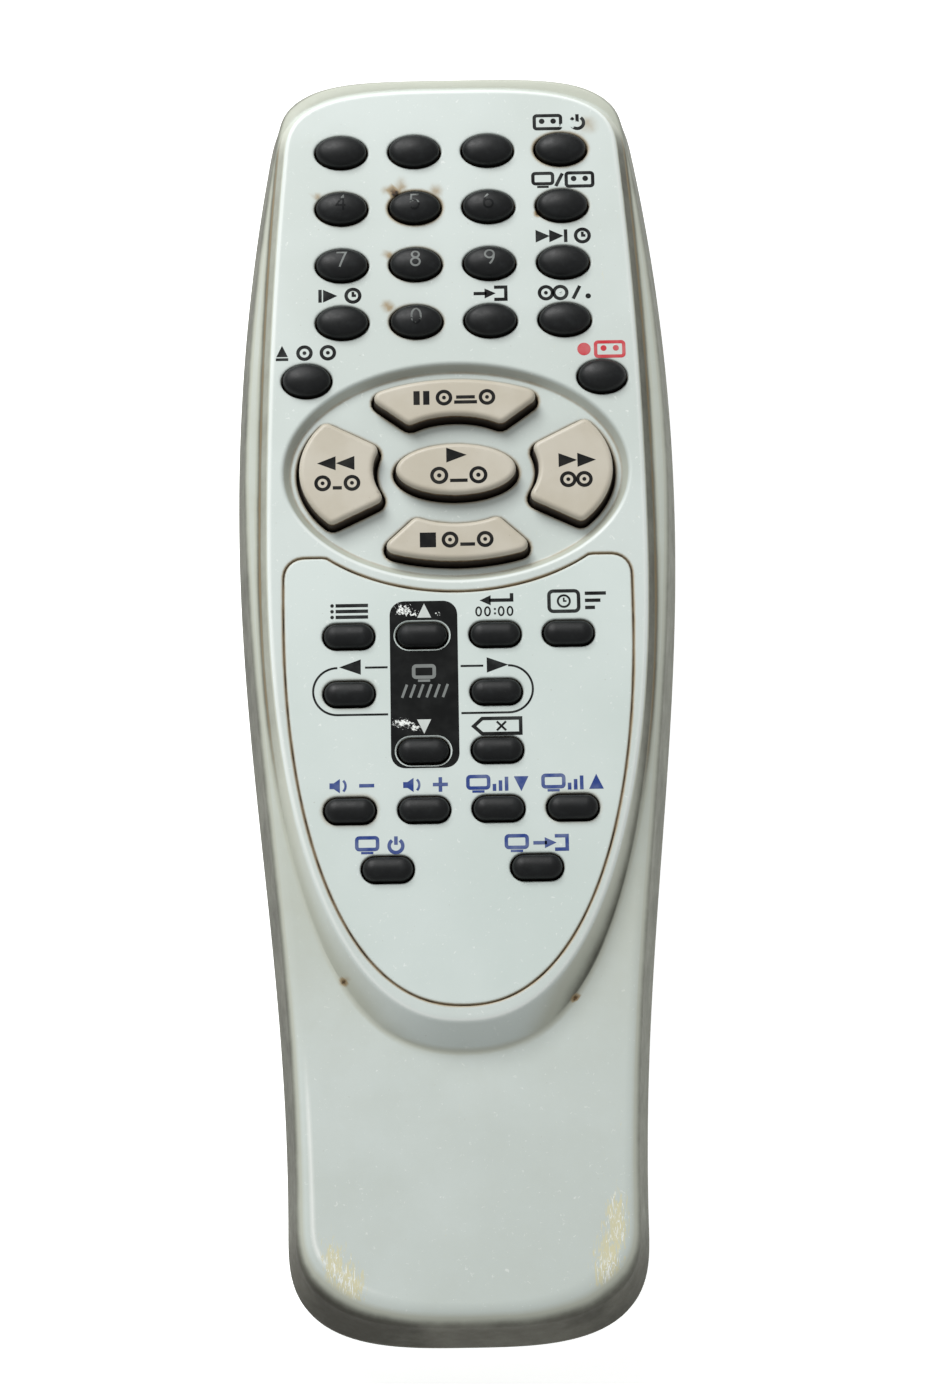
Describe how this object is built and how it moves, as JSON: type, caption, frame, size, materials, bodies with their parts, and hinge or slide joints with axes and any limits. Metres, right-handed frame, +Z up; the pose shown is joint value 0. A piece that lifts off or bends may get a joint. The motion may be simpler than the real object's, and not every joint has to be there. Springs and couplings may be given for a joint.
{
  "type": "infrared remote control",
  "caption": "Hand-held remote control with a raised key deck, an oval dish of transport keys, a shield-shaped insert and a sliding battery door under the grip.",
  "frame": {"origin": "middle of the underside, on the surface that the remote control lies on", "axes": "+Y towards the front end with the infrared lamp, +Z up through the keys, +X to the right when seen from above with the front end away"},
  "size_m": [0.0644, 0.1878, 0.0257],
  "materials": {
    "light_plastic": "satin",
    "panel_plastic": "satin",
    "base_plastic": "satin",
    "key_rubber": "matte",
    "key_beige": "satin",
    "screw_steel": "satin",
    "mat_rubber": "matte",
    "board_laminate": "satin",
    "carbon_print": "matte",
    "black_epoxy": "matte",
    "ceramic_orange": "satin",
    "sleeve_blue": "gloss",
    "resistor_lacquer": "satin",
    "lamp_epoxy": "gloss",
    "cell_jacket": "gloss",
    "contact_metal": "gloss"
  },
  "bodies": {
    "housing": {"top_case": "light_plastic", "insert_panel": "panel_plastic", "bottom_case": "base_plastic", "case_screw": "screw_steel", "keypad_mat": "mat_rubber", "circuit_board": "board_laminate", "contact_pads": "carbon_print", "controller_chip": "black_epoxy", "resonator": "ceramic_orange", "capacitor": "sleeve_blue", "driver_transistor": "black_epoxy", "resistors": "resistor_lacquer", "ir_lamp": "lamp_epoxy", "battery_cells": "cell_jacket", "battery_springs": "contact_metal", "battery_plates": "contact_metal"},
    "battery_door": {"battery_door": "base_plastic"},
    "key_1_body": {"key_1": "key_rubber"},
    "key_2_body": {"key_2": "key_rubber"},
    "key_3_body": {"key_3": "key_rubber"},
    "power_key_body": {"power_key": "key_rubber"},
    "key_4_body": {"key_4": "key_rubber"},
    "key_5_body": {"key_5": "key_rubber"},
    "key_6_body": {"key_6": "key_rubber"},
    "tv_vcr_key_body": {"tv_vcr_key": "key_rubber"},
    "key_7_body": {"key_7": "key_rubber"},
    "key_8_body": {"key_8": "key_rubber"},
    "key_9_body": {"key_9": "key_rubber"},
    "skip_key_body": {"skip_key": "key_rubber"},
    "slow_key_body": {"slow_key": "key_rubber"},
    "key_0_body": {"key_0": "key_rubber"},
    "input_key_body": {"input_key": "key_rubber"},
    "speed_key_body": {"speed_key": "key_rubber"},
    "eject_key_body": {"eject_key": "key_rubber"},
    "record_key_body": {"record_key": "key_rubber"},
    "menu_key_body": {"menu_key": "key_rubber"},
    "channel_up_key_body": {"channel_up_key": "key_rubber"},
    "enter_key_body": {"enter_key": "key_rubber"},
    "timer_key_body": {"timer_key": "key_rubber"},
    "left_key_body": {"left_key": "key_rubber"},
    "right_key_body": {"right_key": "key_rubber"},
    "channel_down_key_body": {"channel_down_key": "key_rubber"},
    "clear_key_body": {"clear_key": "key_rubber"},
    "volume_down_key_body": {"volume_down_key": "key_rubber"},
    "volume_up_key_body": {"volume_up_key": "key_rubber"},
    "tv_channel_down_key_body": {"tv_channel_down_key": "key_rubber"},
    "tv_channel_up_key_body": {"tv_channel_up_key": "key_rubber"},
    "tv_power_key_body": {"tv_power_key": "key_rubber"},
    "tv_input_key_body": {"tv_input_key": "key_rubber"},
    "pause_key_body": {"pause_key": "key_beige"},
    "rewind_key_body": {"rewind_key": "key_beige"},
    "stop_key_body": {"stop_key": "key_beige"},
    "fast_forward_key_body": {"fast_forward_key": "key_beige"},
    "play_key_body": {"play_key": "key_beige"}
  },
  "joints": [
    {"name": "battery_door_slide", "type": "slide", "parent": "housing", "child": "battery_door", "axis": [0, -1, 0], "range_m": [0, 0.05]},
    {"name": "key_1_press", "type": "slide", "parent": "housing", "child": "key_1_body", "axis": [0, 0, -1], "range_m": [0, 0.001], "stiffness_N_per_m": 600, "springref_m": -0.0005},
    {"name": "key_2_press", "type": "slide", "parent": "housing", "child": "key_2_body", "axis": [0, 0, -1], "range_m": [0, 0.001], "stiffness_N_per_m": 600, "springref_m": -0.0005},
    {"name": "key_3_press", "type": "slide", "parent": "housing", "child": "key_3_body", "axis": [0, 0, -1], "range_m": [0, 0.001], "stiffness_N_per_m": 600, "springref_m": -0.0005},
    {"name": "power_key_press", "type": "slide", "parent": "housing", "child": "power_key_body", "axis": [0, 0, -1], "range_m": [0, 0.001], "stiffness_N_per_m": 600, "springref_m": -0.0005},
    {"name": "key_4_press", "type": "slide", "parent": "housing", "child": "key_4_body", "axis": [0, 0, -1], "range_m": [0, 0.001], "stiffness_N_per_m": 600, "springref_m": -0.0005},
    {"name": "key_5_press", "type": "slide", "parent": "housing", "child": "key_5_body", "axis": [0, 0, -1], "range_m": [0, 0.001], "stiffness_N_per_m": 600, "springref_m": -0.0005},
    {"name": "key_6_press", "type": "slide", "parent": "housing", "child": "key_6_body", "axis": [0, 0, -1], "range_m": [0, 0.001], "stiffness_N_per_m": 600, "springref_m": -0.0005},
    {"name": "tv_vcr_key_press", "type": "slide", "parent": "housing", "child": "tv_vcr_key_body", "axis": [0, 0, -1], "range_m": [0, 0.001], "stiffness_N_per_m": 600, "springref_m": -0.0005},
    {"name": "key_7_press", "type": "slide", "parent": "housing", "child": "key_7_body", "axis": [0, 0, -1], "range_m": [0, 0.001], "stiffness_N_per_m": 600, "springref_m": -0.0005},
    {"name": "key_8_press", "type": "slide", "parent": "housing", "child": "key_8_body", "axis": [0, 0, -1], "range_m": [0, 0.001], "stiffness_N_per_m": 600, "springref_m": -0.0005},
    {"name": "key_9_press", "type": "slide", "parent": "housing", "child": "key_9_body", "axis": [0, 0, -1], "range_m": [0, 0.001], "stiffness_N_per_m": 600, "springref_m": -0.0005},
    {"name": "skip_key_press", "type": "slide", "parent": "housing", "child": "skip_key_body", "axis": [0, 0, -1], "range_m": [0, 0.001], "stiffness_N_per_m": 600, "springref_m": -0.0005},
    {"name": "slow_key_press", "type": "slide", "parent": "housing", "child": "slow_key_body", "axis": [0, 0, -1], "range_m": [0, 0.001], "stiffness_N_per_m": 600, "springref_m": -0.0005},
    {"name": "key_0_press", "type": "slide", "parent": "housing", "child": "key_0_body", "axis": [0, 0, -1], "range_m": [0, 0.001], "stiffness_N_per_m": 600, "springref_m": -0.0005},
    {"name": "input_key_press", "type": "slide", "parent": "housing", "child": "input_key_body", "axis": [0, 0, -1], "range_m": [0, 0.001], "stiffness_N_per_m": 600, "springref_m": -0.0005},
    {"name": "speed_key_press", "type": "slide", "parent": "housing", "child": "speed_key_body", "axis": [0, 0, -1], "range_m": [0, 0.001], "stiffness_N_per_m": 600, "springref_m": -0.0005},
    {"name": "eject_key_press", "type": "slide", "parent": "housing", "child": "eject_key_body", "axis": [0, 0, -1], "range_m": [0, 0.001], "stiffness_N_per_m": 600, "springref_m": -0.0005},
    {"name": "record_key_press", "type": "slide", "parent": "housing", "child": "record_key_body", "axis": [0, 0, -1], "range_m": [0, 0.001], "stiffness_N_per_m": 600, "springref_m": -0.0005},
    {"name": "menu_key_press", "type": "slide", "parent": "housing", "child": "menu_key_body", "axis": [0, 0, -1], "range_m": [0, 0.001], "stiffness_N_per_m": 600, "springref_m": -0.0005},
    {"name": "channel_up_key_press", "type": "slide", "parent": "housing", "child": "channel_up_key_body", "axis": [0, 0, -1], "range_m": [0, 0.001], "stiffness_N_per_m": 600, "springref_m": -0.0005},
    {"name": "enter_key_press", "type": "slide", "parent": "housing", "child": "enter_key_body", "axis": [0, 0, -1], "range_m": [0, 0.001], "stiffness_N_per_m": 600, "springref_m": -0.0005},
    {"name": "timer_key_press", "type": "slide", "parent": "housing", "child": "timer_key_body", "axis": [0, 0, -1], "range_m": [0, 0.001], "stiffness_N_per_m": 600, "springref_m": -0.0005},
    {"name": "left_key_press", "type": "slide", "parent": "housing", "child": "left_key_body", "axis": [0, 0, -1], "range_m": [0, 0.001], "stiffness_N_per_m": 600, "springref_m": -0.0005},
    {"name": "right_key_press", "type": "slide", "parent": "housing", "child": "right_key_body", "axis": [0, 0, -1], "range_m": [0, 0.001], "stiffness_N_per_m": 600, "springref_m": -0.0005},
    {"name": "channel_down_key_press", "type": "slide", "parent": "housing", "child": "channel_down_key_body", "axis": [0, 0, -1], "range_m": [0, 0.001], "stiffness_N_per_m": 600, "springref_m": -0.0005},
    {"name": "clear_key_press", "type": "slide", "parent": "housing", "child": "clear_key_body", "axis": [0, 0, -1], "range_m": [0, 0.001], "stiffness_N_per_m": 600, "springref_m": -0.0005},
    {"name": "volume_down_key_press", "type": "slide", "parent": "housing", "child": "volume_down_key_body", "axis": [0, 0, -1], "range_m": [0, 0.001], "stiffness_N_per_m": 600, "springref_m": -0.0005},
    {"name": "volume_up_key_press", "type": "slide", "parent": "housing", "child": "volume_up_key_body", "axis": [0, 0, -1], "range_m": [0, 0.001], "stiffness_N_per_m": 600, "springref_m": -0.0005},
    {"name": "tv_channel_down_key_press", "type": "slide", "parent": "housing", "child": "tv_channel_down_key_body", "axis": [0, 0, -1], "range_m": [0, 0.001], "stiffness_N_per_m": 600, "springref_m": -0.0005},
    {"name": "tv_channel_up_key_press", "type": "slide", "parent": "housing", "child": "tv_channel_up_key_body", "axis": [0, 0, -1], "range_m": [0, 0.001], "stiffness_N_per_m": 600, "springref_m": -0.0005},
    {"name": "tv_power_key_press", "type": "slide", "parent": "housing", "child": "tv_power_key_body", "axis": [0, 0, -1], "range_m": [0, 0.001], "stiffness_N_per_m": 600, "springref_m": -0.0005},
    {"name": "tv_input_key_press", "type": "slide", "parent": "housing", "child": "tv_input_key_body", "axis": [0, 0, -1], "range_m": [0, 0.001], "stiffness_N_per_m": 600, "springref_m": -0.0005},
    {"name": "pause_key_press", "type": "slide", "parent": "housing", "child": "pause_key_body", "axis": [0, 0, -1], "range_m": [0, 0.001], "stiffness_N_per_m": 600, "springref_m": -0.0005},
    {"name": "rewind_key_press", "type": "slide", "parent": "housing", "child": "rewind_key_body", "axis": [0, 0, -1], "range_m": [0, 0.001], "stiffness_N_per_m": 600, "springref_m": -0.0005},
    {"name": "stop_key_press", "type": "slide", "parent": "housing", "child": "stop_key_body", "axis": [0, 0, -1], "range_m": [0, 0.001], "stiffness_N_per_m": 600, "springref_m": -0.0005},
    {"name": "fast_forward_key_press", "type": "slide", "parent": "housing", "child": "fast_forward_key_body", "axis": [0, 0, -1], "range_m": [0, 0.001], "stiffness_N_per_m": 600, "springref_m": -0.0005},
    {"name": "play_key_press", "type": "slide", "parent": "housing", "child": "play_key_body", "axis": [0, 0, -1], "range_m": [0, 0.001], "stiffness_N_per_m": 600, "springref_m": -0.0005}
  ]
}
